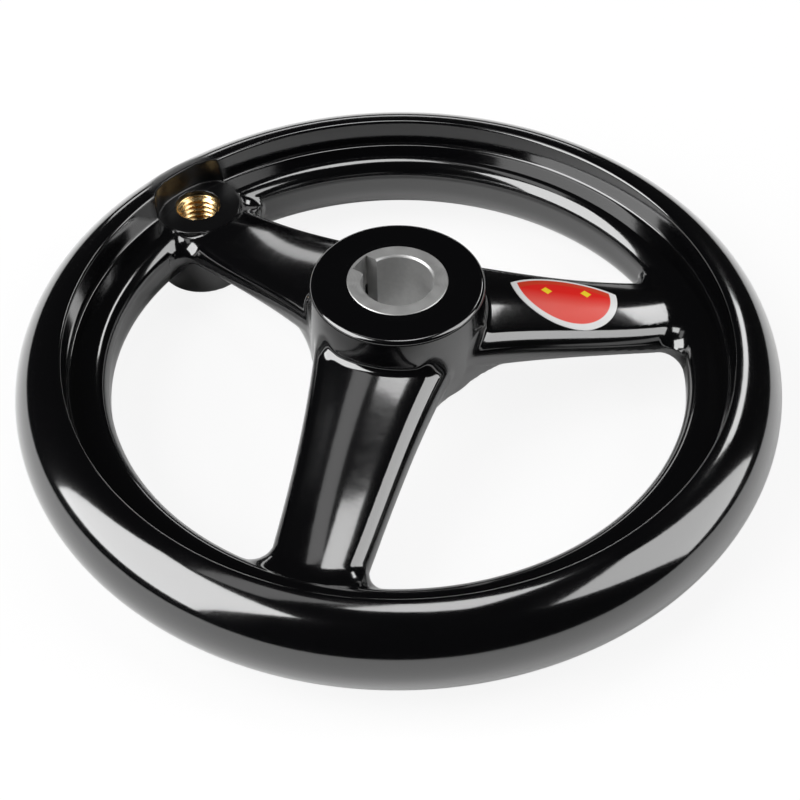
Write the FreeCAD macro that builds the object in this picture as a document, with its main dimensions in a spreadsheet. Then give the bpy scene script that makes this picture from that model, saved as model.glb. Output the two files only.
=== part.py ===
import FreeCAD, Part
import math
import os

import Sketcher

# Machine handwheel: a moulded three-spoke wheel with a keyed steel bush in its hub, a threaded brass
# insert for a crank handle where one spoke meets the rim, and a thin label on another spoke.
# Millimetres. The bore axis is Z. Heights are measured from the back of the rim, and every body is
# lifted so that the foot of the handle's boss, the lowest point, lies in the plane Z = 0.

doc = FreeCAD.newDocument("Handwheel")

# Driving dimensions: name, value, meaning
SIZES = [
    # Rim section, turned about the bore axis
    ("rim_radius", 100.0, "bore axis to the outside of the rim"),
    ("bead_radius", 13.0, "round outer half of the rim section"),
    ("step_edge_radius", 86.7, "bore axis to the inner edge of the crown"),
    ("step_foot_radius", 85.9, "bore axis to the foot of the step below the crown"),
    ("ledge_height", 18.2, "ledge inside the step, above the back of the rim"),
    ("window_radius", 75.8, "bore axis to the inner wall of the rim"),
    ("nose_round", 5.0, "rounding between ledge and inner wall"),
    ("lip_round", 10.0, "rounding between inner wall and back"),
    ("step_round", 0.8, "rounding of the step's two edges"),
    # Hub
    ("hub_radius", 22.2, "outside of the hub at its face"),
    ("hub_foot_radius", 23.0, "outside of the hub at its back"),
    ("hub_face", 42.5, "front face of the hub above the back of the rim"),
    ("hub_back", 19.6, "rear face of the hub"),
    ("hub_edge_round", 1.2, "rounding of the hub's front edge"),
    ("hub_foot_round", 0.8, "rounding of the hub's rear edge"),
    ("collar_ring", 1.9, "width of the sloping ring round the bush"),
    ("collar_ring_rise", 0.25, "how far that ring rises above the hub's face"),
    # Spokes: the first one points along -Y. Stations are distances from the bore axis
    ("spoke_count", 3, "equal spokes"),
    ("root_station", 11.0, "first section, inside the hub"),
    ("root_width", 37.2, "spoke width there"),
    ("root_crest", 36.4, "height of the spoke's crest there"),
    ("root_under", 24.2, "height of its underside there"),
    ("root_rise", 1.8, "rise of its crowned top there"),
    ("collar_station", 22.0, "section at the hub's wall"),
    ("collar_width", 32.8, "spoke width there"),
    ("collar_crest", 32.9, "height of the spoke's crest there"),
    ("collar_under", 21.5, "height of its underside there"),
    ("collar_rise", 1.7, "rise of its crowned top there"),
    ("inner_station", 36.0, "inner section of the arm"),
    ("inner_width", 29.4, "spoke width there"),
    ("inner_crest", 28.6, "height of the spoke's crest there"),
    ("inner_under", 18.0, "height of its underside there"),
    ("inner_rise", 1.5, "rise of its crowned top there"),
    ("outer_station", 67.0, "outer section of the arm"),
    ("outer_width", 24.6, "spoke width there"),
    ("outer_crest", 19.0, "height of the spoke's crest there"),
    ("outer_under", 10.4, "height of its underside there"),
    ("outer_rise", 1.1, "rise of its crowned top there"),
    ("tip_station", 80.0, "last section, inside the rim"),
    ("tip_width", 23.2, "spoke width there"),
    ("tip_crest", 17.2, "height of the spoke's crest there"),
    ("tip_under", 7.4, "height of its underside there"),
    ("tip_rise", 1.1, "rise of its crowned top there"),
    ("root_round", 2.0, "rounding where the spokes leave the hub"),
    ("mouth_round", 6.0, "rounding where the spokes enter the rim"),
    ("shoulder_round", 4.2, "rounding at the top of the spoke's sides"),
    ("belly_round", 2.8, "rounding at the bottom of the spoke's sides"),
    # Bush
    ("bush_radius", 12.8, "outside of the steel bush"),
    ("bush_stand", 0.3, "how far the bush stands out of the hub's rear face"),
    ("bush_proud", 0.5, "how far the bush stands out of the hub's front face"),
    ("bush_chamfer", 0.2, "chamfer of its outer edge there"),
    ("bore_radius", 9.0, "shaft bore"),
    ("bore_chamfer", 0.5, "chamfer at both mouths of the bore"),
    ("key_width", 6.0, "keyway width"),
    ("key_reach", 11.8, "bore axis to the floor of the keyway"),
    ("key_azimuth", 161.0, "direction of the keyway"),
    ("waist_depth", 0.8, "depth of the moulded-in waist round bush and insert"),
    ("waist_length", 4.0, "flat length of that waist"),
    # Handle insert
    ("insert_azimuth", 150.0, "direction of the spoke that carries the handle"),
    ("insert_reach", 82.0, "bore axis to the handle's axis"),
    ("insert_radius", 8.0, "outside of the brass insert"),
    ("insert_top", 16.8, "upper face of the insert"),
    ("thread_radius", 5.05, "core of the M12 x 1.75 thread"),
    ("thread_mouth", 6.0, "countersink at both ends of the thread"),
    ("pad_radius", 12.2, "flat pad round the insert"),
    ("pad_top", 18.3, "upper face of the pad"),
    ("pad_mouth", 6.3, "opening of the pad over the thread"),
    ("pad_chamfer", 0.3, "chamfer at the edge of that opening"),
    ("recess_radius", 8.2, "recess over the insert, which clears its mouth from the rim's crown"),
    ("boss_radius", 13.0, "boss below the insert at its lower end"),
    ("boss_draft", 1.0, "how much narrower the boss is where it meets the spoke"),
    ("boss_height", 12.0, "height up to which the boss tapers"),
    ("boss_drop", 4.2, "how far boss and insert stand out behind the rim"),
    ("boss_round", 1.0, "rounding of the boss's lower edge"),
    # Label
    ("label_azimuth", 25.0, "direction of the label's long side, a little askew on its spoke"),
    ("label_reach", 45.8, "bore axis to the middle of the long side, along that direction"),
    ("label_offset", 8.3, "bore axis to the middle of the long side, across that direction"),
    ("label_radius", 14.5, "radius of its round side"),
    ("label_bulge", 4.6, "rise of its long side"),
    ("label_thickness", 0.2, "thickness of the label"),
]

sheet = doc.addObject("Spreadsheet::Sheet", "Sizes")
for row, (name, value, meaning) in enumerate(SIZES, 1):
    sheet.set(f"A{row}", meaning)
    sheet.set(f"B{row}", str(value))
    sheet.setAlias(f"B{row}", name)
doc.recompute()

START, END, CENTRE = 1, 2, 3
ORIGIN = -1
Y_AXIS = -2


def size(name):
    return float(getattr(sheet, name))


def value_of(expression):
    """number that an expression on the sheet stands for"""
    return float(sheet.evalExpression(expression))


def new_body(name):
    body = doc.addObject("PartDesign::Body", name)
    body.Label = name
    body.setExpression("Placement.Base.z", "Sizes.boss_drop")
    return body


def origin_feature(body, role):
    return next(item for item in body.Origin.OriginFeatures if item.Role == role)


def new_sketch(body, name, plane_role):
    sketch = body.newObject("Sketcher::SketchObject", name)
    sketch.AttachmentSupport = [(origin_feature(body, plane_role), "")]
    sketch.MapMode = "FlatFace"
    return sketch


def constrain(sketch, *parts, name=None, expression=None):
    """adds one constraint; a named one takes its value from the sheet"""
    index = sketch.addConstraint(Sketcher.Constraint(*parts))
    if name:
        sketch.renameConstraint(index, name)
        sketch.setExpression(f"Constraints.{name}", expression)
    return index


def point(x, y):
    return FreeCAD.Vector(x, y, 0)


def line(sketch, start, end):
    return sketch.addGeometry(Part.LineSegment(point(*start), point(*end)), False)


def arc(sketch, centre, radius, start_deg, end_deg):
    circle = Part.Circle(point(*centre), FreeCAD.Vector(0, 0, 1), radius)
    turn = Part.ArcOfCircle(circle, math.radians(start_deg), math.radians(end_deg))
    return sketch.addGeometry(turn, False)


def profile(body, name, corners, turned_by=None, plane="XZ_Plane"):
    """closed outline of straight lines; each corner is a pair of expressions on the sheet.
    A profile in the radial plane can be turned about the bore axis"""
    sketch = new_sketch(body, name, plane)
    if turned_by:
        axis = FreeCAD.Vector(0, 1, 0) if plane == "XZ_Plane" else FreeCAD.Vector(0, 0, 1)
        sketch.AttachmentOffset = FreeCAD.Placement(FreeCAD.Vector(), axis, value_of(turned_by))
        sketch.setExpression("AttachmentOffset.Rotation.Angle", turned_by)
    places = [(value_of(across), value_of(up)) for across, up in corners]
    sides = [line(sketch, *pair) for pair in zip(places, places[1:] + places[:1])]
    for first, second in zip(sides, sides[1:] + sides[:1]):
        constrain(sketch, "Coincident", first, END, second, START)
    for number, (side, (across, up)) in enumerate(zip(sides, corners)):
        for kind, letter, expression in (("DistanceX", "x", across), ("DistanceY", "y", up)):
            if value_of(expression) == 0:
                axis_line = Y_AXIS if letter == "x" else ORIGIN
                constrain(sketch, "PointOnObject", side, START, axis_line)
            else:
                constrain(sketch, kind, ORIGIN, START, side, START, value_of(expression),
                          name=f"{letter}{number}", expression=expression)
    return sketch


def turn_up(body, kind, name, sketch, last_side=False):
    """solid or cut of revolution about the bore axis, or about the last side of its sketch"""
    feature = body.newObject(f"PartDesign::{kind}", name)
    feature.Profile = sketch
    axis = f"Edge{sketch.GeometryCount}" if last_side else "V_Axis"
    feature.ReferenceAxis = (sketch, [axis])
    feature.Angle = 360
    body.Tip = feature
    doc.recompute()
    return feature


def edges_where(feature, wanted):
    """names of the edges whose middle lies at a wanted distance from the bore axis and height"""
    found = []
    for number, edge in enumerate(feature.Shape.Edges, 1):
        middle = edge.valueAt((edge.FirstParameter + edge.LastParameter) / 2)
        if wanted(edge, math.hypot(middle.x, middle.y), middle.z, middle):
            found.append(f"Edge{number}")
    return found


def soften(body, kind, name, base, edges, expression):
    """fillet or chamfer on some edges of a feature"""
    feature = body.newObject(f"PartDesign::{kind}", name)
    feature.Base = (base, edges)
    feature.setExpression("Radius" if kind == "Fillet" else "Size", expression)
    body.Tip = feature
    doc.recompute()
    return feature


def near(first, second, reach=0.05):
    return abs(first - second) < reach


def rim_profile(body):
    """half section of the rim: bead, crown, step, ledge and rounded inner lip"""
    sketch = new_sketch(body, "RimProfile", "XZ_Plane")
    outer = size("rim_radius") - size("bead_radius")
    top = 2 * size("bead_radius")
    wall, ledge = size("window_radius"), size("ledge_height")
    nose, lip = size("nose_round"), size("lip_round")
    foot, edge = size("step_foot_radius"), size("step_edge_radius")
    crown = line(sketch, (edge, top), (outer, top))
    bead = arc(sketch, (outer, size("bead_radius")), size("bead_radius"), -90, 90)
    back = line(sketch, (outer, 0), (wall + lip, 0))
    lip_arc = arc(sketch, (wall + lip, lip), lip, 180, 270)
    inner = line(sketch, (wall, lip), (wall, ledge - nose))
    nose_arc = arc(sketch, (wall + nose, ledge - nose), nose, 90, 180)
    flat = line(sketch, (wall + nose, ledge), (foot, ledge))
    step = line(sketch, (foot, ledge), (edge, top))
    constrain(sketch, "Tangent", crown, END, bead, END)
    constrain(sketch, "Tangent", bead, START, back, START)
    constrain(sketch, "Tangent", back, END, lip_arc, END)
    constrain(sketch, "Tangent", lip_arc, START, inner, START)
    constrain(sketch, "Tangent", inner, END, nose_arc, END)
    constrain(sketch, "Tangent", nose_arc, START, flat, START)
    constrain(sketch, "Coincident", flat, END, step, START)
    constrain(sketch, "Coincident", step, END, crown, START)
    for level in (crown, back, flat):
        constrain(sketch, "Horizontal", level)
    constrain(sketch, "Vertical", inner)
    constrain(sketch, "Radius", bead, size("bead_radius"), name="bead", expression="Sizes.bead_radius")
    constrain(sketch, "DistanceY", ORIGIN, START, bead, CENTRE, size("bead_radius"),
              name="bead_height", expression="Sizes.bead_radius")
    constrain(sketch, "DistanceX", ORIGIN, START, bead, CENTRE, outer,
              name="bead_place", expression="Sizes.rim_radius - Sizes.bead_radius")
    constrain(sketch, "Radius", lip_arc, lip, name="lip", expression="Sizes.lip_round")
    constrain(sketch, "Radius", nose_arc, nose, name="nose", expression="Sizes.nose_round")
    constrain(sketch, "DistanceX", ORIGIN, START, inner, START, wall,
              name="wall", expression="Sizes.window_radius")
    constrain(sketch, "DistanceY", ORIGIN, START, flat, END, ledge,
              name="ledge", expression="Sizes.ledge_height")
    constrain(sketch, "DistanceX", ORIGIN, START, flat, END, foot,
              name="step_foot", expression="Sizes.step_foot_radius")
    constrain(sketch, "DistanceX", ORIGIN, START, crown, START, edge,
              name="step_edge", expression="Sizes.step_edge_radius")
    return sketch


def spoke_section(body, station):
    """one section across the first spoke: crowned top, rounded shoulders and sides, flat underside"""
    sketch = new_sketch(body, f"Spoke{station.title()}", "XZ_Plane")
    sketch.setExpression("AttachmentOffset.Base.z", f"Sizes.{station}_station")
    half, top = size(f"{station}_width") / 2, size(f"{station}_crest")
    floor_level, lift = size(f"{station}_under"), size(f"{station}_rise")
    shoulder, belly = size("shoulder_round"), size("belly_round")
    # The crown arc is tangent to both shoulder arcs, and stands above their tops by the rise
    reach = half - shoulder
    crown_radius = (reach ** 2 + lift ** 2) / (2 * lift) + shoulder
    level = top - lift - shoulder
    swing = math.degrees(math.asin(reach / (crown_radius - shoulder)))
    floor = line(sketch, (-half + belly, floor_level), (half - belly, floor_level))
    right_belly = arc(sketch, (half - belly, floor_level + belly), belly, -90, 0)
    right_side = line(sketch, (half, floor_level + belly), (half, level))
    right_shoulder = arc(sketch, (reach, level), shoulder, 0, 90 - swing)
    crown = arc(sketch, (0, top - crown_radius), crown_radius, 90 - swing, 90 + swing)
    left_shoulder = arc(sketch, (-reach, level), shoulder, 90 + swing, 180)
    left_side = line(sketch, (-half, level), (-half, floor_level + belly))
    left_belly = arc(sketch, (-half + belly, floor_level + belly), belly, 180, 270)
    peak = sketch.addGeometry(Part.Point(point(0, top)), True)
    outline = [floor, right_belly, right_side, right_shoulder, crown, left_shoulder, left_side, left_belly]
    for first, second in zip(outline, outline[1:] + outline[:1]):
        constrain(sketch, "Tangent", first, END, second, START)
    constrain(sketch, "Vertical", right_side)
    constrain(sketch, "Symmetric", floor, START, floor, END, Y_AXIS)
    constrain(sketch, "Equal", right_belly, left_belly)
    constrain(sketch, "Equal", right_shoulder, left_shoulder)
    constrain(sketch, "PointOnObject", crown, CENTRE, Y_AXIS)
    constrain(sketch, "PointOnObject", peak, START, Y_AXIS)
    constrain(sketch, "PointOnObject", peak, START, crown)
    constrain(sketch, "Radius", right_belly, belly, name="belly", expression="Sizes.belly_round")
    constrain(sketch, "Radius", right_shoulder, shoulder, name="shoulder",
              expression="Sizes.shoulder_round")
    constrain(sketch, "DistanceX", ORIGIN, START, right_side, START, half,
              name="half_width", expression=f"Sizes.{station}_width / 2")
    constrain(sketch, "DistanceY", ORIGIN, START, floor, START, floor_level,
              name="underside", expression=f"Sizes.{station}_under")
    constrain(sketch, "DistanceY", ORIGIN, START, peak, START, top,
              name="crest", expression=f"Sizes.{station}_crest")
    constrain(sketch, "DistanceY", right_shoulder, CENTRE, peak, START, lift + shoulder,
              name="rise", expression=f"Sizes.{station}_rise + Sizes.shoulder_round")
    return sketch


# Wheel: the moulded body, in one piece

wheel = new_body("wheel")
turn_up(wheel, "Revolution", "Rim", rim_profile(wheel))
recessed_rim = turn_up(wheel, "Groove", "HandleRecess", profile(wheel, "HandleRecessProfile", [
    ("Sizes.insert_reach", "Sizes.ledge_height"),
    ("Sizes.insert_reach + Sizes.recess_radius", "Sizes.ledge_height"),
    ("Sizes.insert_reach + Sizes.recess_radius", "Sizes.hub_face"),
    ("Sizes.insert_reach", "Sizes.hub_face"),
], turned_by="Sizes.insert_azimuth"), last_side=True)


def is_step_edge(edge, radius, height, middle):
    crown_edge = near(radius, size("step_edge_radius")) and near(height, 2 * size("bead_radius"))
    foot_edge = near(radius, size("step_foot_radius")) and near(height, size("ledge_height"))
    return edge.Length > size("rim_radius") and (crown_edge or foot_edge)


soften(wheel, "Fillet", "StepRounds", recessed_rim, edges_where(recessed_rim, is_step_edge), "Sizes.step_round")

sections = [spoke_section(wheel, station) for station in ("root", "collar", "inner", "outer", "tip")]
doc.recompute()

spoke = wheel.newObject("PartDesign::AdditiveLoft", "Spoke")
spoke.Profile = sections[0]
spoke.Sections = sections[1:]
spoke.Ruled = False
doc.recompute()
spokes = wheel.newObject("PartDesign::PolarPattern", "Spokes")
spokes.Originals = [spoke]
spokes.Axis = (origin_feature(wheel, "Z_Axis"), [""])
spokes.Angle = 360
spokes.setExpression("Occurrences", "Sizes.spoke_count")
wheel.Tip = spokes
doc.recompute()

BOSS_FOOT = "-Sizes.boss_drop"
RING_TOP = "Sizes.hub_face + Sizes.collar_ring_rise"
hub = turn_up(wheel, "Revolution", "Hub", profile(wheel, "HubProfile", [
    ("0", "Sizes.hub_back"),
    ("Sizes.hub_foot_radius", "Sizes.hub_back"),
    ("Sizes.hub_radius", "Sizes.hub_face"),
    ("Sizes.bush_radius + Sizes.collar_ring", "Sizes.hub_face"),
    ("Sizes.bush_radius", RING_TOP),
    ("0", RING_TOP),
]))


def on_face_edge(edge, radius, height, middle):
    return edge.Closed and near(radius, size("hub_radius")) and near(height, size("hub_face"))


def on_foot_edge(edge, radius, height, middle):
    return edge.Closed and near(radius, size("hub_foot_radius")) and near(height, size("hub_back"))


def on_root(edge, radius, height, middle):
    beside_hub = size("hub_radius") + 0.1 < radius < size("hub_foot_radius") + 0.05
    between = size("hub_back") + 1 < height < size("root_crest") - 2
    return beside_hub and between and edge.Curve.TypeId == "Part::GeomBSplineCurve"


def on_boss_foot(edge, radius, height, middle):
    return near(height, value_of(BOSS_FOOT)) and near(radius, size("insert_reach") - size("boss_radius"), 0.1)


def on_mouth(edge, radius, height, middle):
    beside_wall = size("window_radius") - 1 < radius < size("window_radius") + size("nose_round") + 2
    between = size("tip_under") - 1 < height < size("ledge_height") + 0.1
    spline = edge.Curve.TypeId == "Part::GeomBSplineCurve" and edge.Length > 0.15
    return beside_wall and between and spline


last = hub
for name, wanted, radius in (
        ("HubFaceRound", on_face_edge, "hub_edge_round"),
        ("HubFootRound", on_foot_edge, "hub_foot_round"),
        ("SpokeMouthRounds", on_mouth, "mouth_round"),
        ("SpokeRootRounds", on_root, "root_round")):
    last = soften(wheel, "Fillet", name, last, edges_where(last, wanted), f"Sizes.{radius}")

turn_up(wheel, "Revolution", "Boss", profile(wheel, "BossProfile", [
    ("Sizes.insert_reach", BOSS_FOOT),
    ("Sizes.insert_reach + Sizes.boss_radius", BOSS_FOOT),
    ("Sizes.insert_reach + Sizes.boss_radius - Sizes.boss_draft", "Sizes.boss_height"),
    ("Sizes.insert_reach + Sizes.pad_radius", "Sizes.boss_height"),
    ("Sizes.insert_reach + Sizes.pad_radius", "Sizes.pad_top"),
    ("Sizes.insert_reach", "Sizes.pad_top"),
], turned_by="Sizes.insert_azimuth"), last_side=True)


# Waist of bush and insert, filled by the moulding: four corners from the lower end to the upper end
BUSH_BACK = "Sizes.hub_back - Sizes.bush_stand"
BUSH_FACE = "Sizes.hub_face + Sizes.bush_proud"


def waist(radius, low, high):
    """corners of the moulded-in waist halfway between two heights"""
    middle = f"(({low}) + ({high})) / 2"
    deep = f"{radius} - Sizes.waist_depth"
    return [
        (radius, f"{middle} - Sizes.waist_length / 2 - Sizes.waist_depth"),
        (deep, f"{middle} - Sizes.waist_length / 2"),
        (deep, f"{middle} + Sizes.waist_length / 2"),
        (radius, f"{middle} + Sizes.waist_length / 2 + Sizes.waist_depth"),
    ]


bush_seat = turn_up(wheel, "Groove", "BushSeat", profile(wheel, "BushSeatProfile", [
    ("0", BUSH_BACK),
    ("Sizes.bush_radius", BUSH_BACK),
    *waist("Sizes.bush_radius", BUSH_BACK, BUSH_FACE),
    ("Sizes.bush_radius", RING_TOP),
    ("0", RING_TOP),
]))

INSERT_SIDE = "Sizes.insert_reach + Sizes.insert_radius"
insert_seat = turn_up(wheel, "Groove", "InsertSeat", profile(wheel, "InsertSeatProfile", [
    ("Sizes.insert_reach", BOSS_FOOT),
    (INSERT_SIDE, BOSS_FOOT),
    *waist(INSERT_SIDE, BOSS_FOOT, "Sizes.insert_top"),
    (INSERT_SIDE, "Sizes.insert_top"),
    ("Sizes.insert_reach + Sizes.pad_mouth", "Sizes.insert_top"),
    ("Sizes.insert_reach + Sizes.pad_mouth", "Sizes.pad_top - Sizes.pad_chamfer"),
    ("Sizes.insert_reach + Sizes.pad_mouth + Sizes.pad_chamfer", "Sizes.pad_top"),
    ("Sizes.insert_reach", "Sizes.pad_top"),
], turned_by="Sizes.insert_azimuth"), last_side=True)

soften(wheel, "Fillet", "BossFootRound", insert_seat, edges_where(insert_seat, on_boss_foot), "Sizes.boss_round")

# Bush: steel, keyed to the shaft

bush = new_body("hub_bush")
CHAMFERED_BORE = "Sizes.bore_radius + Sizes.bore_chamfer"
turn_up(bush, "Revolution", "BushSolid", profile(bush, "BushProfile", [
    ("Sizes.bore_radius", f"{BUSH_BACK} + Sizes.bore_chamfer"),
    (CHAMFERED_BORE, BUSH_BACK),
    ("Sizes.bush_radius", BUSH_BACK),
    *waist("Sizes.bush_radius", BUSH_BACK, BUSH_FACE),
    ("Sizes.bush_radius", f"{BUSH_FACE} - Sizes.bush_chamfer"),
    ("Sizes.bush_radius - Sizes.bush_chamfer", BUSH_FACE),
    (CHAMFERED_BORE, BUSH_FACE),
    ("Sizes.bore_radius", f"{BUSH_FACE} - Sizes.bore_chamfer"),
]))
keyway = bush.newObject("PartDesign::Pocket", "Keyway")
keyway.Profile = profile(bush, "KeywayProfile", [
    ("0", "-Sizes.key_width / 2"),
    ("Sizes.key_reach", "-Sizes.key_width / 2"),
    ("Sizes.key_reach", "Sizes.key_width / 2"),
    ("0", "Sizes.key_width / 2"),
], turned_by="Sizes.key_azimuth", plane="XY_Plane")
keyway.Type = "ThroughAll"
keyway.Midplane = True
bush.Tip = keyway
doc.recompute()

# Handle insert: brass, threaded for the stud of a crank handle

insert = new_body("handle_insert")
THREAD_CORE = "Sizes.insert_reach + Sizes.thread_radius"
THREAD_MOUTH = "Sizes.insert_reach + Sizes.thread_mouth"
SINK = "(Sizes.thread_mouth - Sizes.thread_radius)"
turn_up(insert, "Revolution", "InsertSolid", profile(insert, "InsertProfile", [
    ("Sizes.insert_reach", BOSS_FOOT),
    (INSERT_SIDE, BOSS_FOOT),
    *waist(INSERT_SIDE, BOSS_FOOT, "Sizes.insert_top"),
    (INSERT_SIDE, "Sizes.insert_top"),
    ("Sizes.insert_reach", "Sizes.insert_top"),
], turned_by="Sizes.insert_azimuth"), last_side=True)
turn_up(insert, "Groove", "ThreadCore", profile(insert, "ThreadCoreProfile", [
    ("Sizes.insert_reach", BOSS_FOOT),
    (THREAD_MOUTH, BOSS_FOOT),
    (THREAD_CORE, f"{BOSS_FOOT} + {SINK}"),
    (THREAD_CORE, f"Sizes.insert_top - {SINK}"),
    (THREAD_MOUTH, "Sizes.insert_top"),
    ("Sizes.insert_reach", "Sizes.insert_top"),
], turned_by="Sizes.insert_azimuth"), last_side=True)

# Label: a thin skin that follows the crowned top of its spoke


def label_outline(body):
    """half-moon seen from above: a half circle on the near side, a flatter arc on the far side"""
    sketch = new_sketch(body, "LabelOutline", "XY_Plane")
    sketch.AttachmentOffset = FreeCAD.Placement(
        FreeCAD.Vector(), FreeCAD.Vector(0, 0, 1), size("label_azimuth"))
    sketch.setExpression("AttachmentOffset.Rotation.Angle", "Sizes.label_azimuth")
    along, across = size("label_reach"), size("label_offset")
    half, bulge = size("label_radius"), size("label_bulge")
    flat_radius = (half ** 2 + bulge ** 2) / (2 * bulge)
    swing = math.degrees(math.asin(half / flat_radius))
    near_arc = arc(sketch, (along, across), half, 180, 360)
    far_arc = arc(sketch, (along, across + bulge - flat_radius), flat_radius, 90 - swing, 90 + swing)
    constrain(sketch, "Coincident", near_arc, END, far_arc, START)
    constrain(sketch, "Coincident", far_arc, END, near_arc, START)
    constrain(sketch, "Horizontal", near_arc, START, near_arc, END)
    constrain(sketch, "Horizontal", near_arc, CENTRE, near_arc, END)
    constrain(sketch, "DistanceX", ORIGIN, START, near_arc, CENTRE, along,
              name="along", expression="Sizes.label_reach")
    constrain(sketch, "DistanceY", ORIGIN, START, near_arc, CENTRE, across,
              name="across", expression="Sizes.label_offset")
    constrain(sketch, "Radius", near_arc, half, name="half", expression="Sizes.label_radius")
    constrain(sketch, "Radius", far_arc, flat_radius, name="flat",
              expression="(Sizes.label_radius ^ 2 + Sizes.label_bulge ^ 2) / (2 * Sizes.label_bulge)")
    return sketch


blank = new_body("LabelBlank")
blank_pad = blank.newObject("PartDesign::Pad", "LabelPad")
blank_pad.Profile = label_outline(blank)
blank_pad.setExpression("Length", "Sizes.hub_face")
blank.Tip = blank_pad
lifted = doc.addObject("App::Link", "LiftedWheel")
lifted.LinkedObject = wheel
lifted.setExpression("Placement.Base.z", "Sizes.boss_drop + Sizes.label_thickness")
skin = doc.addObject("Part::Common", "LabelSkin")
skin.Base = blank
skin.Tool = lifted
label = doc.addObject("Part::Cut", "label")
label.Label = "label"
label.Base = skin
label.Tool = wheel
doc.recompute()

os.makedirs("parts", exist_ok=True)
for part in (wheel, bush, insert, label):
    if not part.isValid() or part.Shape.isNull() or not part.Shape.isValid():
        raise ValueError(f"{part.Label} has no valid shape")
    part.Shape.exportStep(f"parts/{part.Label}.step")
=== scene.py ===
import math

import bmesh
import bpy
import numpy as np
from mathutils import Matrix, Vector


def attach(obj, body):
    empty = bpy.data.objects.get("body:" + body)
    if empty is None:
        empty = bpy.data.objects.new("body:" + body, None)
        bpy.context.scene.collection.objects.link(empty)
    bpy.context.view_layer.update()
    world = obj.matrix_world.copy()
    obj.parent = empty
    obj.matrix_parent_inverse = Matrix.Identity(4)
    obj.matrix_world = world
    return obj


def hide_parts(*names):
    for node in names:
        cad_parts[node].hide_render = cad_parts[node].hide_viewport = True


# Looks of the machine handwheel. Shapes are worked out in millimetres with the back of the rim at
# height 0, as the wheel is dimensioned, and go into the meshes in metres, lifted onto the boss's foot.

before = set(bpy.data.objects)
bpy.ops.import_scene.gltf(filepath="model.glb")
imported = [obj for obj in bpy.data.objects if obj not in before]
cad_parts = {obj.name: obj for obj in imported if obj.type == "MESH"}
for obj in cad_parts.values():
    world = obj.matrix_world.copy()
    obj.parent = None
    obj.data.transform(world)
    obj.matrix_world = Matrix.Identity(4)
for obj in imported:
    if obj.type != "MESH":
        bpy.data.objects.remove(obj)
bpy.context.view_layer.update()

MM = 0.001
LIFT = 4.2

# Rim section
RIM_RADIUS, BEAD = 100.0, 13.0
BEAD_REACH = RIM_RADIUS - BEAD
STEP_FOOT, STEP_EDGE, LEDGE, CROWN = 85.9, 86.7, 18.2, 26.0
WINDOW, NOSE, LIP, STEP_ROUND = 75.8, 5.0, 10.0, 0.8

# Hub, and the sloping ring round the bush, which goes on a little way below the hub's face
HUB_FACE, HUB_BACK = 42.5, 19.6
HUB_RADIUS, HUB_FOOT_RADIUS = 22.2, 23.0
HUB_EDGE_ROUND, HUB_FOOT_ROUND = 1.2, 0.8
BUSH_RADIUS, RING_WIDTH, RING_RISE, RING_DEPTH, RING_RUNOUT = 12.8, 1.9, 0.25, 3.0, 2.0

# Spokes: station along the spoke, width, crest, underside and rise of the crown there
SPOKES = np.array([
    (11.0, 37.2, 36.4, 24.2, 1.8),
    (22.0, 32.8, 32.9, 21.5, 1.7),
    (36.0, 29.4, 28.6, 18.0, 1.5),
    (67.0, 24.6, 19.0, 10.4, 1.1),
    (80.0, 23.2, 17.2, 7.4, 1.1),
])
SHOULDER, BELLY = 4.2, 2.8
SPOKE_AZIMUTH, SPOKE_ANGLE, SPOKE_END, SPOKE_RUNOUT = -90.0, 120.0, 90.0, 2.0
MOUTH_ROUND, ROOT_ROUND, FLANK_ROUND = 6.0, 2.0, 7.0
# Between these distances from a spoke's middle, its corner at the hub grows from one round to the other
CROWN_HALF, FLANK_HALF = 10.0, 15.0

# Handle insert and its boss
INSERT_AZIMUTH, INSERT_REACH = 150.0, 82.0
INSERT_RADIUS, INSERT_TOP, INSERT_FOOT = 8.0, 16.8, -4.2
THREAD_CORE, THREAD_MAJOR, THREAD_PITCH, THREAD_FLAT = 5.05, 6.0, 1.75, 0.12
PAD_RADIUS, PAD_TOP, PAD_FOOT, PAD_MOUTH = 12.2, 18.3, 10.0, 6.3
BOSS_RADIUS, BOSS_DRAFT, BOSS_HEIGHT, BOSS_ROUND, BOSS_CORNER = 13.0, 1.0, 12.0, 1.0, 1.0
RECESS_WALL, RECESS_CORNER, RECESS_ROUND, RECESS_GAP = 89.6, 6.0, 0.5, 0.2

# Edges of what is cut out, and how far bush and insert sit in the moulding's surface
CUT_ROUND, BUSH_SINK, INSERT_SINK, INSERT_COVER = 0.3, 0.4, 0.6, 0.5

# Distances from the bore axis, and from the insert's, where hub, rim and boss are joined on
HUB_ZONE, RIM_ZONE, BOSS_ZONE = 45.0, 62.0, 20.0

# Label: direction of its long side, middle of that side, size, thickness and colours
LABEL_AZIMUTH, LABEL_REACH, LABEL_OFFSET = 25.0, 45.8, 8.3
LABEL_RADIUS, LABEL_BULGE, LABEL_THICKNESS, LABEL_SINK = 14.5, 4.6, 0.2, 0.05
LABEL_FLAT_RADIUS = (LABEL_RADIUS ** 2 + LABEL_BULGE ** 2) / (2 * LABEL_BULGE)
BORDER_WIDTH, BORDER_FLAT_WIDTH, BORDER_BLUR = 1.8, 0.7, 0.12
# The label's red turns paler towards its lower part as a painted reflection of soft light; that edge lies at
# the drop below the label's middle and is blurred over the last width
BAND_WIDTH, BAND_BLUR, SHEEN_DROP, SHEEN_BLUR = 2.6, 0.25, 4.0, 2.5
MARKS, MARK_REACH, MARK_BLUR = ((-5.0, -1.5), (6.0, -0.8)), 1.5, 0.15
# the third red is the lighter colour of the label's painted reflection
WHITE, RED, PAINTED_SHEEN_RED = (0.74, 0.74, 0.74, 1), (0.72, 0.02, 0.015, 1), (0.75, 0.10, 0.08, 1)
ORANGE, YELLOW = (0.60, 0.05, 0.02, 1), (0.85, 0.62, 0.03, 1)


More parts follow.
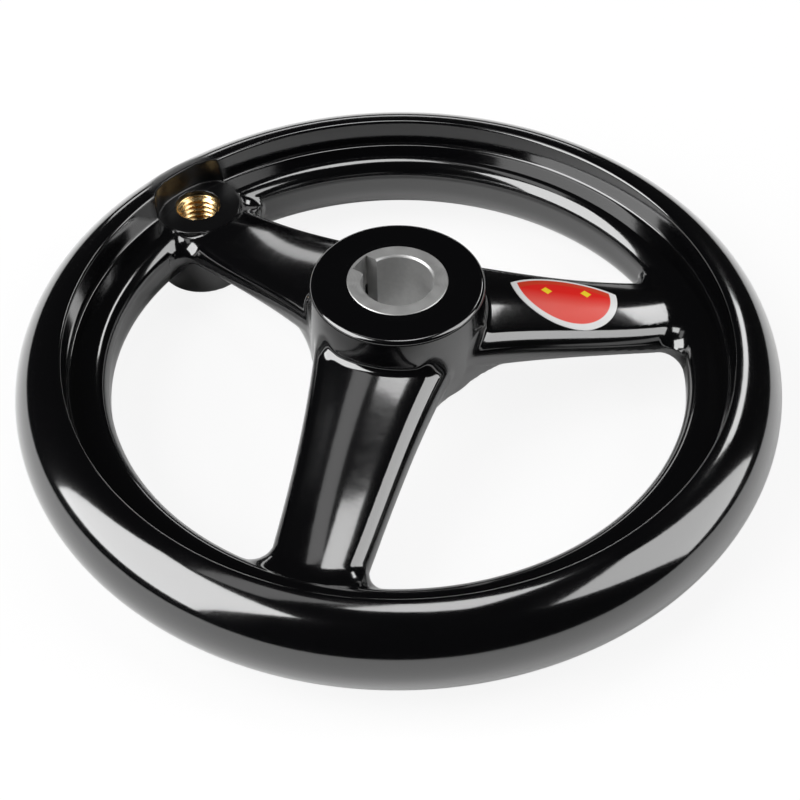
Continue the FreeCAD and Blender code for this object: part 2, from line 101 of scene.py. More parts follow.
def flat_place(azimuth, reach):
    """plan position at an azimuth in degrees and a distance from the bore axis"""
    turn = math.radians(azimuth)
    return np.array([math.cos(turn), math.sin(turn)]) * reach


INSERT_PLACE = flat_place(INSERT_AZIMUTH, INSERT_REACH)


# Fields: negative inside, growing about as fast as the distance outside

def rounded_corner(first, second, radius):
    """common part of two solids with its outer corner rounded: beyond both faces moved in by the radius,
    the distance is that to the rounding's centre less the radius"""
    edge = np.hypot(np.maximum(first + radius, 0), np.maximum(second + radius, 0))
    return np.minimum(-radius, np.maximum(first, second)) + edge


def slope(field, points, step=0.02):
    """gradient of a field by central differences"""
    out = np.empty_like(points)
    for axis in range(3):
        shift = np.zeros(3)
        shift[axis] = step
        out[:, axis] = (field(points + shift) - field(points - shift)) / (2 * step)
    return out


def rolled_union(points, first, second, radius):
    """union of two solids with a ball rolled along their inner corner. Where the point lies between the
    ball's two contact lines, the distance is the radius less the way to the ball's centre, which stands
    off both faces by the radius; the angle between the faces comes from their gradients, and is kept
    clear of 0 and 180 degrees"""
    one, other = first(points), second(points)
    out = np.minimum(one, other)
    radius = np.broadcast_to(radius, out.shape)
    inner = (one < radius) & (other < radius) & (np.maximum(one, other) > -1.0)
    if not inner.any():
        return out
    near, radius = points[inner], radius[inner]
    one_way, other_way = slope(first, near), slope(second, near)
    one_pace = np.linalg.norm(one_way, axis=1) + 1e-9
    other_pace = np.linalg.norm(other_way, axis=1) + 1e-9
    between = np.clip((one_way * other_way).sum(1) / (one_pace * other_pace), -0.95, 0.98)
    off_one = one[inner] / one_pace - radius
    off_other = other[inner] / other_pace - radius
    square = 1 - between ** 2
    share_one = -(off_one - off_other * between)
    share_other = -(off_other - off_one * between)
    spread = off_one ** 2 + off_other ** 2 - 2 * off_one * off_other * between
    away = np.sqrt(np.maximum(spread, 0) / square)
    filled = (share_one > 0) & (share_other > 0)
    out[inner] = np.where(filled, radius - away, out[inner])
    return out


def rim_bead(points):
    """circle in section, cut off by the leaning step wall"""
    radius, height = np.hypot(points[:, 0], points[:, 1]), points[:, 2]
    bead = np.hypot(radius - BEAD_REACH, height - BEAD) - BEAD
    lean = STEP_EDGE - STEP_FOOT
    tall = CROWN - LEDGE
    wall = (lean * (height - LEDGE) - tall * (radius - STEP_FOOT)) / math.hypot(lean, tall)
    return rounded_corner(bead, wall, STEP_ROUND)


def rim_ledge(points):
    """block in section, with a nose above and a lip below on its window side"""
    radius, height = np.hypot(points[:, 0], points[:, 1]), points[:, 2]
    block = rounded_corner(WINDOW - radius, height - LEDGE, NOSE)
    block = rounded_corner(block, -height, LIP)
    return np.maximum(block, radius - BEAD_REACH)


SPOKE_CURVES = [np.polyfit(SPOKES[:, 0], SPOKES[:, column], 3) for column in (1, 2, 3, 4)]


def folded(points):
    """all spokes turned onto one: distance along it from the bore axis, and distance across it"""
    azimuth = np.degrees(np.arctan2(points[:, 1], points[:, 0]))
    half = SPOKE_ANGLE / 2
    turn = np.radians((azimuth - SPOKE_AZIMUTH + half) % SPOKE_ANGLE - half)
    radius = np.hypot(points[:, 0], points[:, 1])
    return radius * np.cos(turn), radius * np.sin(turn)


def spoke_field(points):
    """three equal spokes, folded into one: crowned top, upright sides and flat underside, with rounded
    shoulders and bellies, ended inside the hub and inside the rim. From the runout past the last station
    on, the section stays the same"""
    height = points[:, 2]
    station, across = folded(points)
    along = np.clip(station, SPOKES[0, 0], SPOKES[-1, 0] + SPOKE_RUNOUT)
    half, crest, under, rise = (np.polyval(curve, along) for curve in SPOKE_CURVES)
    half = half / 2
    reach = half - SHOULDER
    crown_radius = (reach ** 2 + rise ** 2) / (2 * rise) + SHOULDER
    crown = np.hypot(across, height - crest + crown_radius) - crown_radius
    body = rounded_corner(np.abs(across) - half, crown, SHOULDER)
    body = rounded_corner(body, under - height, BELLY)
    return np.maximum(body, np.maximum(SPOKES[0, 0] - station, station - SPOKE_END))


def hub_field(points):
    """slightly conical hub with rounded edges, and the low sloping ring round the bush on its face"""
    radius, height = np.hypot(points[:, 0], points[:, 1]), points[:, 2]
    share = (HUB_FACE - height) / (HUB_FACE - HUB_BACK)
    side = radius - (HUB_RADIUS + (HUB_FOOT_RADIUS - HUB_RADIUS) * share)
    body = rounded_corner(side, height - HUB_FACE, HUB_EDGE_ROUND)
    body = rounded_corner(body, HUB_BACK - height, HUB_FOOT_ROUND)
    slant = RING_RISE / RING_WIDTH
    ring = height - HUB_FACE - slant * (BUSH_RADIUS + RING_WIDTH - radius)
    ring_end = radius - BUSH_RADIUS - RING_WIDTH - RING_RUNOUT
    ring = np.maximum(ring, np.maximum(ring_end, HUB_FACE - RING_DEPTH - height))
    return np.minimum(body, ring)


def insert_distance(points):
    """distance from the handle's axis"""
    return np.hypot(points[:, 0] - INSERT_PLACE[0], points[:, 1] - INSERT_PLACE[1])


def boss_field(points):
    """tapered boss below and straight pad above, both round the handle's axis"""
    away, height = insert_distance(points), points[:, 2]
    side = away - BOSS_RADIUS + BOSS_DRAFT * (height - INSERT_FOOT) / (BOSS_HEIGHT - INSERT_FOOT)
    boss = np.maximum(rounded_corner(side, INSERT_FOOT - height, BOSS_ROUND), height - BOSS_HEIGHT)
    pad = rounded_corner(away - PAD_RADIUS, height - PAD_TOP, RECESS_ROUND)
    return np.minimum(boss, np.maximum(pad, PAD_FOOT - height))


def hollow_field(points):
    """what is cut from the moulding: the flat recess over the pad with its straight wall in the rim's
    crown, and the seats of insert and bush, which those two fill"""
    away, height = insert_distance(points), points[:, 2]
    outwards = (points[:, 0] * INSERT_PLACE[0] + points[:, 1] * INSERT_PLACE[1]) / INSERT_REACH
    recess = rounded_corner(away - PAD_RADIUS - RECESS_GAP, outwards - RECESS_WALL, RECESS_CORNER)
    recess = rounded_corner(recess, PAD_TOP - height, RECESS_ROUND)
    mouth = np.maximum(away - PAD_MOUTH, INSERT_TOP - INSERT_COVER - height)
    seat = np.maximum(away - INSERT_RADIUS + INSERT_SINK, height - INSERT_TOP + INSERT_COVER)
    bore = np.hypot(points[:, 0], points[:, 1]) - BUSH_RADIUS + BUSH_SINK
    return np.minimum(np.minimum(recess, mouth), np.minimum(seat, bore))


def root_round(points):
    """radius of the corner between spoke and hub: small over the crown, growing down the flanks"""
    across = np.abs(folded(points)[1])
    share = np.clip((across - CROWN_HALF) / (FLANK_HALF - CROWN_HALF), 0, 1)
    return ROOT_ROUND + (FLANK_ROUND - ROOT_ROUND) * share ** 2 * (3 - 2 * share)


def spoked_rim(points):
    """hub, spokes and rim: each pair is joined only where the two meet, the ledge before the bead"""
    radius = np.hypot(points[:, 0], points[:, 1])
    out = spoke_field(points)
    inner, outer = radius < HUB_ZONE, radius > RIM_ZONE
    out[inner] = rolled_union(points[inner], spoke_field, hub_field, root_round(points[inner]))
    out[outer] = rolled_union(points[outer], rim_ledge, spoke_field, MOUTH_ROUND)
    bead = rim_bead(points)
    corner = STEP_ROUND - np.hypot(np.maximum(STEP_ROUND - bead, 0), np.maximum(STEP_ROUND - out, 0))
    foot = (bead > -STEP_ROUND) & (out > -STEP_ROUND) & (points[:, 2] > LEDGE / 2)
    return np.where(foot, np.minimum(np.minimum(bead, out), corner), np.minimum(bead, out))


def wheel_field(points):
    """the whole moulding: rim, spokes, hub and boss joined, less the hollows"""
    out = spoked_rim(points)
    near = insert_distance(points) < BOSS_ZONE
    out[near] = rolled_union(points[near], spoked_rim, boss_field, BOSS_CORNER)
    return rounded_corner(out, -hollow_field(points), CUT_ROUND)


def bare_wheel_field(points):
    """the same without rolled corners, to find where the surface can be"""
    solid = np.minimum(np.minimum(rim_bead(points), rim_ledge(points)), spoke_field(points))
    solid = np.minimum(solid, np.minimum(hub_field(points), boss_field(points)))
    return np.maximum(solid, -hollow_field(points))


def spaced(bands):
    """lattice lines from bands of (start, end, step)"""
    lines = [np.linspace(start, end, max(2, round((end - start) / step) + 1))
             for start, end, step in bands]
    return np.unique(np.round(np.concatenate(lines), 6))


def closed_net(field, rough, radii, heights, turns):
    """surface where a field is zero, netted on a lattice in radius, height and azimuth that closes round
    the axis: one vertex in each cell with mixed signs, at the mean of its edges' zero points, then drawn
    onto the surface along the gradient; one quad round each lattice edge whose ends differ in sign"""
    shape = (len(radii), len(heights), len(turns))
    around = len(turns)
    grid_r, grid_z, grid_t = np.meshgrid(radii, heights, turns, indexing="ij")
    spots = np.stack([grid_r * np.cos(grid_t), grid_r * np.sin(grid_t), grid_z], -1).reshape(-1, 3)
    values = rough(spots)
    # in a corner that opens 60 degrees or more, a rolled ball changes this value by at most half its radius
    close = np.abs(values) < FLANK_ROUND / 2
    values[close] = field(spots[close])
    values, spots = values.reshape(shape), spots.reshape(shape + (3,))
    inside = values < 0
    corners = [(i, j, k) for i in (0, 1) for j in (0, 1) for k in (0, 1)]
    stack = np.stack([np.roll(inside, -k, 2)[i:shape[0] - 1 + i, j:shape[1] - 1 + j]
                      for i, j, k in corners])
    mixed = stack.any(0) & ~stack.all(0)
    number = np.full(mixed.shape, -1)
    number[mixed] = np.arange(mixed.sum())
    row, level, turn = np.nonzero(mixed)
    ends = [(row + i, level + j, (turn + k) % around) for i, j, k in corners]
    total, count = np.zeros((len(row), 3)), np.zeros(len(row))
    for a in range(8):
        for b in range(a + 1, 8):
            if sum(x != y for x, y in zip(corners[a], corners[b])) != 1:
                continue
            start, end = values[ends[a]], values[ends[b]]
            crossed = (start < 0) != (end < 0)
            share = np.where(crossed, start / np.where(crossed, start - end, 1), 0)[:, None]
            met = spots[ends[a]] * (1 - share) + spots[ends[b]] * share
            total += np.where(crossed[:, None], met, 0)
            count += crossed
    vertices = total / count[:, None]

    def quads(changed, steps):
        """faces round the changed edges, from the four cells at the given steps back from each"""
        i, j, k = np.nonzero(changed)
        faces = np.stack([number[i - di, j - dj, (k - dk) % around] for di, dj, dk in steps], 1)
        return faces[(faces >= 0).all(1)]

    across = inside[:-1] != inside[1:]
    across[:, 0] = across[:, -1] = False
    upward = inside[:, :-1] != inside[:, 1:]
    upward[0] = upward[-1] = False
    onward = inside != np.roll(inside, -1, 2)
    onward[0] = onward[-1] = False
    onward[:, 0] = onward[:, -1] = False
    faces = np.concatenate([
        quads(across, [(0, 1, 1), (0, 0, 1), (0, 0, 0), (0, 1, 0)]),
        quads(upward, [(1, 0, 1), (0, 0, 1), (0, 0, 0), (1, 0, 0)]),
        quads(onward, [(1, 1, 0), (0, 1, 0), (0, 0, 0), (1, 0, 0)]),
    ])
    for _ in range(5):
        way = slope(field, vertices)
        pace = (way ** 2).sum(1) + 1e-6
        move = (field(vertices) / pace)[:, None] * way
        length = np.linalg.norm(move, axis=1, keepdims=True)
        vertices = vertices - move * np.minimum(1, 0.5 / np.maximum(length, 1e-9))
    normals = slope(field, vertices)
    normals /= np.linalg.norm(normals, axis=1, keepdims=True)
    first, second, third, fourth = (vertices[faces[:, n]] for n in range(4))
    facing = np.cross(third - first, fourth - second)
    turned = (facing * normals[faces].sum(1)).sum(1) < 0
    faces[turned] = faces[turned][:, ::-1]
    return vertices, faces, normals


def new_piece(name, vertices, faces, material, replaced, normals=None, sharp_above=None):
    """mesh object from millimetre vertices, riding on the one body and standing for a CAD node"""
    mesh = bpy.data.meshes.new(name)
    places = (np.asarray(vertices, float) + (0, 0, LIFT)) * MM
    mesh.from_pydata(places.tolist(), [], faces)
    mesh.validate()
    mesh.update()
    mesh.polygons.foreach_set("use_smooth", np.ones(len(mesh.polygons), bool))
    if sharp_above is not None:
        mesh.set_sharp_from_angle(angle=math.radians(sharp_above))
    if normals is not None:
        mesh.normals_split_custom_set_from_vertices(normals.tolist())
    piece = bpy.data.objects.new(name, mesh)
    bpy.context.scene.collection.objects.link(piece)
    mesh.materials.append(material)
    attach(piece, "root")
    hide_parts(replaced)


def ring_faces(around, rings, closed_up=True):
    """quads of a grid that closes round its axis, and if asked from its last ring to its first"""
    ring = np.arange(rings if closed_up else rings - 1)
    step = np.arange(around)
    r, s = np.meshgrid(ring, step, indexing="ij")
    start, following, ahead = r * around, (r + 1) % rings * around, (s + 1) % around
    return np.stack([start + s, start + ahead, following + ahead, following + s], -1).reshape(-1, 4)


# Materials

def add_node(tree, kind, inputs=None, **settings):
    """shader node with its settings and the constants on its sockets"""
    node = tree.nodes.new(kind)
    for name, value in settings.items():
        setattr(node, name, value)
    for name, value in (inputs or {}).items():
        node.inputs[name].default_value = value
    return node


def mottle_group():
    """patchy value between two limits, from noise with four levels of detail"""
    group = bpy.data.node_groups.new("fine_mottle", "ShaderNodeTree")
    face = group.interface
    face.new_socket("Place", in_out="INPUT", socket_type="NodeSocketVector")
    for name in ("Scale", "Low", "High"):
        face.new_socket(name, in_out="INPUT", socket_type="NodeSocketFloat")
    face.new_socket("Value", in_out="OUTPUT", socket_type="NodeSocketFloat")
    source = add_node(group, "NodeGroupInput")
    sink = add_node(group, "NodeGroupOutput")
    noise = add_node(group, "ShaderNodeTexNoise", {"Detail": 4.0, "Roughness": 0.6})
    limits = add_node(group, "ShaderNodeMapRange", {"From Min": 0.3, "From Max": 0.7})
    group.links.new(source.outputs["Place"], noise.inputs["Vector"])
    group.links.new(source.outputs["Scale"], noise.inputs["Scale"])
    group.links.new(noise.outputs["Fac"], limits.inputs["Value"])
    group.links.new(source.outputs["Low"], limits.inputs["To Min"])
    group.links.new(source.outputs["High"], limits.inputs["To Max"])
    group.links.new(limits.outputs["Result"], sink.inputs["Value"])
    return group


MOTTLE = mottle_group()


def finish(name, **sockets):
    """material with one Principled shader, its constants set on their own sockets, and the object's
    coordinates at hand"""
    material = bpy.data.materials.new(name)
    material.use_nodes = True
    tree = material.node_tree
    shader = tree.nodes["Principled BSDF"]
    for socket, value in sockets.items():
        shader.inputs[socket.replace("_", " ")].default_value = value
    place = add_node(tree, "ShaderNodeTexCoord")
    return material, tree, shader, place.outputs["Object"]


def mottled(tree, place, target, scale, low, high):
    """drives a socket with the patchy value"""
    node = add_node(tree, "ShaderNodeGroup", node_tree=MOTTLE)
    for name, value in (("Scale", scale), ("Low", low), ("High", high)):
        node.inputs[name].default_value = value
    tree.links.new(place, node.inputs["Place"])
    tree.links.new(node.outputs["Value"], target)
    return node


def bumped(tree, height, shader, strength, distance):
    """gives the shader's surface a fine relief"""
    bump = add_node(tree, "ShaderNodeBump", {"Strength": strength, "Distance": distance})
    tree.links.new(height, bump.inputs["Height"])
    tree.links.new(bump.outputs["Normal"], shader.inputs["Normal"])


# Places of a colour mix's sockets, several of which share a name
MIX_FACTOR, MIX_LOW, MIX_HIGH, MIX_RESULT = 0, 6, 7, 2


def blended(tree, factor, low, high):
    """colour between two others, each a constant or a socket"""
    node = add_node(tree, "ShaderNodeMix", data_type="RGBA")
    for place, value in ((MIX_LOW, low), (MIX_HIGH, high), (MIX_FACTOR, factor)):
        if isinstance(value, tuple):
            node.inputs[place].default_value = value
        else:
            tree.links.new(value, node.inputs[place])
    return node.outputs[MIX_RESULT]


def moulding_material():
    """polished black phenolic: deep gloss with a slight haze in patches and a faint waviness, duller in
    the cut recess over the insert"""
    material, tree, shader, place = finish(
        "black_moulding", Base_Color=(0.0012, 0.0012, 0.0015, 1), IOR=1.6, Coat_IOR=1.6, Coat_Roughness=0.07)
    haze = mottled(tree, place, shader.inputs["Roughness"], 45.0, 0.09, 0.14)
    from_recess = add_node(tree, "ShaderNodeVectorMath", operation="DISTANCE")
    from_recess.inputs[1].default_value = (*(INSERT_PLACE * MM), (PAD_TOP + 4 + LIFT) * MM)
    tree.links.new(place, from_recess.inputs[0])
    coated = add_node(tree, "ShaderNodeMapRange", {"From Min": 0.0125, "From Max": 0.0145})
    tree.links.new(from_recess.outputs["Value"], coated.inputs["Value"])
    tree.links.new(coated.outputs["Result"], shader.inputs["Coat Weight"])
    matt = add_node(tree, "ShaderNodeMapRange", {"To Min": 0.3})
    tree.links.new(coated.outputs["Result"], matt.inputs["Value"])
    tree.links.new(haze.outputs["Value"], matt.inputs["To Max"])
    tree.links.new(matt.outputs["Result"], shader.inputs["Roughness"])
    wave = add_node(tree, "ShaderNodeTexNoise", {"Scale": 260.0, "Detail": 2.0})
    tree.links.new(place, wave.inputs["Vector"])
    bumped(tree, wave.outputs["Fac"], shader, 0.04, 0.0006)
    return material


def steel_material():
    """turned steel: fine rings about the bore axis in height and brightness"""
    material, tree, shader, place = finish("turned_steel", Metallic=0.88)
    mottled(tree, place, shader.inputs["Roughness"], 300.0, 0.42, 0.55)
    rings = add_node(tree, "ShaderNodeTexWave", {"Scale": 900.0, "Distortion": 0.6, "Detail": 1.0},
                     wave_type="RINGS", rings_direction="Z")
    tree.links.new(place, rings.inputs["Vector"])
    colour = blended(tree, rings.outputs["Fac"], (0.40, 0.40, 0.40, 1), (0.52, 0.52, 0.51, 1))
    tree.links.new(colour, shader.inputs["Base Color"])
    bumped(tree, rings.outputs["Fac"], shader, 0.15, 0.0001)
    return material


def brass_material():
    """cut brass: warm metal, a little darker and duller in patches"""
    material, tree, shader, place = finish("cut_brass", Metallic=1.0)
    mottled(tree, place, shader.inputs["Roughness"], 500.0, 0.16, 0.30)
    tint = add_node(tree, "ShaderNodeTexNoise", {"Scale": 700.0, "Detail": 3.0})
    tree.links.new(place, tint.inputs["Vector"])
    colour = blended(tree, tint.outputs["Fac"], (0.72, 0.48, 0.20, 1), (0.88, 0.66, 0.34, 1))
    tree.links.new(colour, shader.inputs["Base Color"])
    return material


# Wheel: bands of the lattice are finer where the surface turns sharply

WHEEL_RADII = spaced([(11.0, 12.0, 0.5), (12.0, 15.4, 0.42), (15.4, 21.0, 1.1), (21.0, 23.6, 0.4),
                      (23.6, 72.0, 1.05), (72.0, 85.0, 0.9), (85.0, 87.4, 0.4), (87.4, 97.0, 0.95),
                      (97.0, 101.0, 0.5)])
WHEEL_HEIGHTS = spaced([(-5.0, -2.2, 0.55), (-2.2, 1.0, 0.8), (1.0, 17.2, 0.9), (17.2, 19.6, 0.4),
                        (19.6, 25.0, 0.8), (25.0, 26.6, 0.4), (26.6, 40.6, 0.9), (40.6, 43.4, 0.35)])
WHEEL_TURNS = np.radians(np.concatenate([
    np.arange(-172.5, 140.0, 1.25), np.arange(140.0, 160.0, 0.4), np.arange(160.0, 186.5, 1.25)]))

wheel_vertices, wheel_faces, wheel_normals = closed_net(
    wheel_field, bare_wheel_field, WHEEL_RADII, WHEEL_HEIGHTS, WHEEL_TURNS)
new_piece("moulded_wheel", wheel_vertices, wheel_faces.tolist(), moulding_material(), "wheel",
          normals=wheel_normals)


# Bush

def smooth_copy(node, name, material, sharp_above):
    """a CAD node's own form with its loose triangles joined, so that round faces shade round"""
    shell = bmesh.new()
    shell.from_mesh(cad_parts[node].data)
    bmesh.ops.remove_doubles(shell, verts=shell.verts, dist=1e-6)
    corners = [tuple(vertex.co) for vertex in shell.verts]
    shell.verts.index_update()
    faces = [[vertex.index for vertex in face.verts] for face in shell.faces]
    shell.free()
    vertices = np.array(corners) / MM - (0, 0, LIFT)
    new_piece(name, vertices, faces, material, node, sharp_above=sharp_above)


smooth_copy("hub_bush", "keyed_bush", steel_material(), 25)


# Brass insert with its thread

def threaded_insert():
    """ring of a grid round the handle's axis: outside, top, threaded hole and bottom. The thread's
    radius is a blunted zigzag of the height less the pitch times the turns, so it winds as a screw"""
    around, per_pitch = 96, 14
    angle = np.linspace(0, 2 * math.pi, around, endpoint=False)
    sink = THREAD_MAJOR - THREAD_CORE
    depth = INSERT_TOP - INSERT_FOOT
    heights = np.linspace(INSERT_TOP, INSERT_FOOT, round(depth / THREAD_PITCH * per_pitch) + 1)
    phase = (heights[:, None] - THREAD_PITCH * angle[None, :] / (2 * math.pi)) / THREAD_PITCH
    zigzag = 2 * np.abs(phase % 1 - 0.5)
    cut = THREAD_CORE + sink * np.clip((zigzag - THREAD_FLAT) / (1 - 2 * THREAD_FLAT), 0, 1)
    to_end = np.minimum(INSERT_TOP - heights, heights - INSERT_FOOT)[:, None]
    chamfer, side = 0.1, INSERT_RADIUS - 0.2
    mouth = THREAD_MAJOR + chamfer
    hole = np.maximum(cut, mouth - to_end)
    outer = [(mouth + 0.02, INSERT_FOOT), (side - chamfer, INSERT_FOOT), (side, INSERT_FOOT + chamfer),
             (side, INSERT_TOP - chamfer), (side - chamfer, INSERT_TOP), (mouth + 0.02, INSERT_TOP)]
    radii = np.concatenate([np.array([[r] * around for r, _ in outer]), hole])
    levels = np.concatenate([np.array([z for _, z in outer]), heights])
    places = np.stack([INSERT_PLACE[0] + radii * np.cos(angle), INSERT_PLACE[1] + radii * np.sin(angle),
                       np.repeat(levels[:, None], around, 1)], -1).reshape(-1, 3)
    return places, ring_faces(around, len(levels))


insert_vertices, insert_faces = threaded_insert()
new_piece("threaded_insert", insert_vertices, insert_faces.tolist(), brass_material(),
          "handle_insert", sharp_above=35)


# Label

def label_material():
    """printed film: red field with a darker band along its straight side, a white border and two small
    yellow diamonds; the red is painted paler below, a painted reflection of soft light; places are read in
    the label's own plan directions"""
    material, tree, shader, place = finish("label_film", IOR=1.5, Coat_Weight=1.0, Coat_Roughness=0.06)
    middle = flat_place(LABEL_AZIMUTH, LABEL_REACH) + flat_place(LABEL_AZIMUTH + 90, LABEL_OFFSET)
    turned = add_node(tree, "ShaderNodeMapping", {
        "Location": (middle[0] * MM, middle[1] * MM, 0),
        "Rotation": (0, 0, math.radians(LABEL_AZIMUTH)),
        "Scale": (MM, MM, MM)}, vector_type="TEXTURE")
    tree.links.new(place, turned.inputs["Vector"])
    split = add_node(tree, "ShaderNodeSeparateXYZ")
    tree.links.new(turned.outputs["Vector"], split.inputs["Vector"])

    def number(operation, *values):
        """sum, product or the like of numbers and sockets"""
        node = add_node(tree, "ShaderNodeMath", operation=operation)
        for socket, value in zip(node.inputs, values):
            if isinstance(value, (int, float)):
                socket.default_value = value
            else:
                tree.links.new(value, socket)
        return node.outputs[0]

    def away(x, y):
        """distance from a spot of the label"""
        across = number("SUBTRACT", split.outputs["X"], x)
        along = number("SUBTRACT", split.outputs["Y"], y)
        squares = number("MULTIPLY", across, across), number("MULTIPLY", along, along)
        return number("SQRT", number("ADD", *squares))

    def step_up(value, edge, blur):
        """mask that goes from 0 to 1 at an edge, blurred to each side"""
        node = add_node(tree, "ShaderNodeMapRange", {"From Min": edge - blur, "From Max": edge + blur})
        tree.links.new(value, node.inputs["Value"])
        return node.outputs["Result"]

    from_round = away(0, 0)
    from_flat = away(0, LABEL_BULGE - LABEL_FLAT_RADIUS)
    border = number("MAXIMUM", step_up(from_round, LABEL_RADIUS - BORDER_WIDTH, BORDER_BLUR),
                    step_up(from_flat, LABEL_FLAT_RADIUS - BORDER_FLAT_WIDTH, BORDER_BLUR))
    band = step_up(from_flat, LABEL_FLAT_RADIUS - BAND_WIDTH, BAND_BLUR)
    # painted reflection: the red turns paler below, standing in for a soft light's reflection on the film
    pale = step_up(number("MULTIPLY", split.outputs["Y"], -1.0), SHEEN_DROP, SHEEN_BLUR)
    field = blended(tree, band, blended(tree, pale, RED, PAINTED_SHEEN_RED), ORANGE)
    for x, y in MARKS:
        across = number("ABSOLUTE", number("SUBTRACT", split.outputs["X"], x))
        along = number("ABSOLUTE", number("SUBTRACT", split.outputs["Y"], y))
        outside = step_up(number("ADD", across, along), MARK_REACH, MARK_BLUR)
        inside = number("SUBTRACT", 1.0, outside)
        field = blended(tree, inside, field, YELLOW)
    tree.links.new(blended(tree, border, field, WHITE), shader.inputs["Base Color"])
    mottled(tree, place, shader.inputs["Roughness"], 200.0, 0.16, 0.24)
    return material


def label_film():
    """closed thin film: rings shrink from the outline to its middle, each ring a scaled copy of the half
    circle and the flatter arc; heights are the moulding's surface below, found along Z, plus the film"""
    around, rings = 160, 26
    swing = math.asin(LABEL_RADIUS / LABEL_FLAT_RADIUS)
    near = np.linspace(math.pi, 2 * math.pi, around // 2, endpoint=False)
    far = np.linspace(math.pi / 2 - swing, math.pi / 2 + swing, around - around // 2, endpoint=False)
    outline = np.concatenate([
        np.stack([LABEL_RADIUS * np.cos(near), LABEL_RADIUS * np.sin(near)], 1),
        np.stack([LABEL_FLAT_RADIUS * np.cos(far),
                  LABEL_BULGE - LABEL_FLAT_RADIUS + LABEL_FLAT_RADIUS * np.sin(far)], 1)])
    heart = np.array([0.0, -4.0])
    shares = np.linspace(1, 0.02, rings)[:, None, None]
    flat = (heart + (outline - heart) * shares).reshape(-1, 2)
    along = flat_place(LABEL_AZIMUTH, 1.0)
    side = flat_place(LABEL_AZIMUTH + 90, 1.0)
    plan = (LABEL_REACH + flat[:, :1]) * along + (LABEL_OFFSET + flat[:, 1:]) * side
    spots = np.column_stack([plan, np.full(len(plan), 30.0)])
    shift = np.array([0, 0, 0.02])
    for _ in range(30):
        value = wheel_field(spots)
        rate = (wheel_field(spots + shift) - wheel_field(spots - shift)) / (2 * shift[2])
        spots[:, 2] -= np.clip(value / np.maximum(rate, 0.2), -1, 1)
    out = slope(wheel_field, spots)
    top = spots + out * (LABEL_THICKNESS - LABEL_SINK)
    low = spots - out * LABEL_SINK
    vertices = np.concatenate([top, low])
    upper = ring_faces(around, rings, closed_up=False)
    lower = (upper + len(top))[:, ::-1]
    step = np.arange(around)
    ahead = (step + 1) % around
    wall = np.stack([ahead, step, step + len(top), ahead + len(top)], 1)
    last = (rings - 1) * around
    centre = [list(last + step), list((last + len(top) + step)[::-1])]
    return vertices, upper.tolist() + lower.tolist() + wall.tolist() + centre


label_vertices, label_faces = label_film()
new_piece("spoke_label", label_vertices, label_faces, label_material(), "label",
          sharp_above=50)


# Floor, light and camera

def floor_plane():
    """pale floor just below the object: lit as a plain near-white surface, brought up to white where it
    is looked at, and clear from below"""
    mesh = bpy.data.meshes.new("floor")
    reach, low = 6.0, -0.0003
    corners = [(-reach, -reach, low), (reach, -reach, low), (reach, reach, low), (-reach, reach, low)]
    mesh.from_pydata(corners, [], [(0, 1, 2, 3)])
    floor = bpy.data.objects.new("floor", mesh)
    bpy.context.scene.collection.objects.link(floor)
    material = bpy.data.materials.new("pale_floor")
    material.use_nodes = True
    tree = material.node_tree
    shader = tree.nodes["Principled BSDF"]
    shader.inputs["Base Color"].default_value = (0.85, 0.85, 0.85, 1)
    shader.inputs["Roughness"].default_value = 0.9
    shader.inputs["Specular IOR Level"].default_value = 0.0
    glow = add_node(tree, "ShaderNodeEmission", {"Strength": 1.0})
    path = add_node(tree, "ShaderNodeLightPath")
    share = add_node(tree, "ShaderNodeMath", {1: 0.88}, operation="MULTIPLY")
    tree.links.new(path.outputs["Is Camera Ray"], share.inputs[0])
    mix = add_node(tree, "ShaderNodeMixShader")
    tree.links.new(share.outputs[0], mix.inputs[0])
    tree.links.new(shader.outputs[0], mix.inputs[1])
    tree.links.new(glow.outputs[0], mix.inputs[2])
    clear = add_node(tree, "ShaderNodeBsdfTransparent")
    side = add_node(tree, "ShaderNodeNewGeometry")
    seen_below = add_node(tree, "ShaderNodeMixShader")
    tree.links.new(side.outputs["Backfacing"], seen_below.inputs[0])
    tree.links.new(mix.outputs[0], seen_below.inputs[1])
    tree.links.new(clear.outputs[0], seen_below.inputs[2])
    tree.links.new(seen_below.outputs[0], tree.nodes["Material Output"].inputs["Surface"])
    mesh.materials.append(material)


floor_plane()

world = bpy.data.worlds.new("studio")
bpy.context.scene.world = world
world.use_nodes = True
world.node_tree.nodes["Background"].inputs["Color"].default_value = (1, 1, 1, 1)
world.node_tree.nodes["Background"].inputs["Strength"].default_value = 0.012


# Height on the bore axis of the point that the lamps are placed round, in metres
AIM_HEIGHT = 0.02


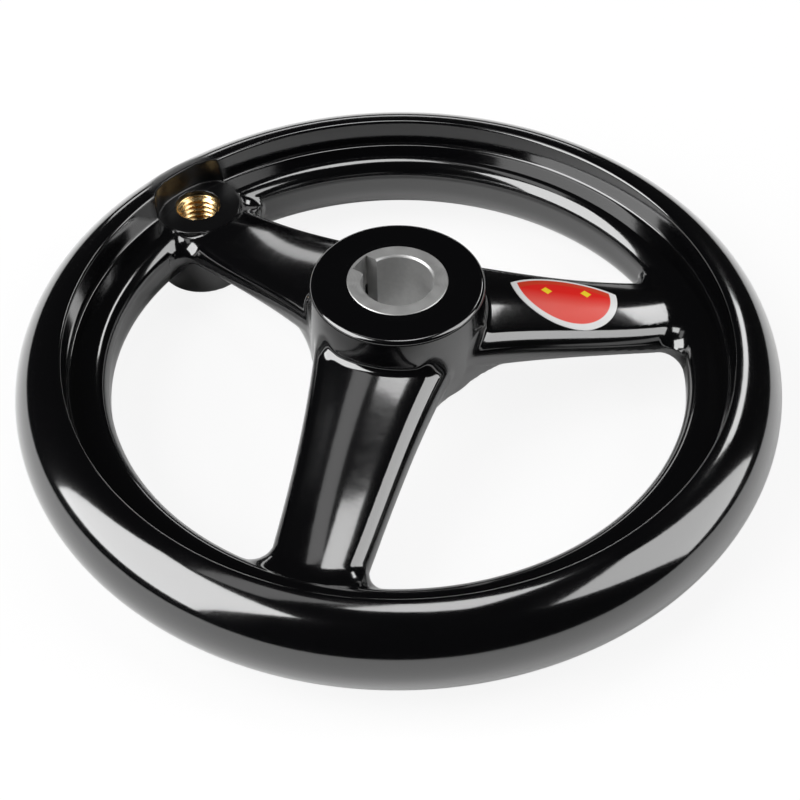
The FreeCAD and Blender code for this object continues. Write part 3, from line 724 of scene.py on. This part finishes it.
def soft_box(name, azimuth, elevation, distance, width, height, radiance, facing=None, roll=0.0):
    """area light in a direction from the object, at a distance and with a size in metres. It faces the
    object unless its own facing elevation is given, and its upright sides lean by the roll"""
    lamp = bpy.data.lights.new(name, "AREA")
    lamp.shape = "RECTANGLE"
    lamp.size, lamp.size_y = width, height
    lamp.energy = radiance * math.pi * width * height
    turn, rise = math.radians(azimuth), math.radians(elevation)
    lean = rise if facing is None else math.radians(facing)
    way = Vector((math.cos(turn) * math.cos(rise), math.sin(turn) * math.cos(rise), math.sin(rise)))
    out = Vector((math.cos(turn) * math.cos(lean), math.sin(turn) * math.cos(lean), math.sin(lean)))
    side = Vector((-math.sin(turn), math.cos(turn), 0))
    upright = Matrix.Rotation(math.radians(roll), 3, out) @ out.cross(side)
    box = bpy.data.objects.new(name, lamp)
    place = way * distance + Vector((0, 0, AIM_HEIGHT))
    turned = Matrix((upright.cross(out), upright, out)).transposed()
    box.matrix_world = Matrix.Translation(place) @ turned.to_4x4()
    bpy.context.scene.collection.objects.link(box)


soft_box("left_box", -147.5, 43.3, 1.55, 1.23, 1.63, 6.2, facing=20)
soft_box("right_box", 10, 34, 1.5, 0.91, 1.5, 3.6, roll=12)
soft_box("top_box", 84.5, 78.5, 1.5, 0.41, 0.44, 4.8)
soft_box("dim_top_box", 158, 72, 1.5, 0.55, 0.28, 1.0)
soft_box("far_strip", 68, 40, 1.5, 0.20, 0.48, 5.2, roll=42)
soft_box("back_card", 112, 10, 1.6, 1.2, 0.16, 1.6)


# Camera: place in millimetres from the boss's foot, direction that its back points in, turn about that,
# lens and sensor
CAMERA_PLACE = (89.945, -309.593, 343.846)
CAMERA_AZIMUTH, CAMERA_ELEVATION, CAMERA_ROLL = -73.863, 46.5808, -0.5336
CAMERA_LENS, CAMERA_SENSOR = 78.18, 36.0


def photo_camera():
    """camera of the photograph: its place and turn were fitted to the rim, the hub and the spokes"""
    camera = bpy.data.cameras.new("camera")
    camera.sensor_fit = "HORIZONTAL"
    camera.sensor_width = CAMERA_SENSOR
    camera.lens = CAMERA_LENS
    camera.clip_start, camera.clip_end = 0.01, 50
    view = bpy.data.objects.new("camera", camera)
    turn = Matrix.Rotation(math.radians(CAMERA_AZIMUTH + 90), 4, "Z")
    tilt = Matrix.Rotation(math.radians(90 - CAMERA_ELEVATION), 4, "X")
    roll = Matrix.Rotation(math.radians(CAMERA_ROLL), 4, "Z")
    view.matrix_world = Matrix.Translation(Vector(CAMERA_PLACE) * MM) @ turn @ tilt @ roll
    bpy.context.scene.collection.objects.link(view)
    bpy.context.scene.camera = view


photo_camera()

bpy.context.scene.view_settings.view_transform = "Standard"

bpy.context.view_layer.update()
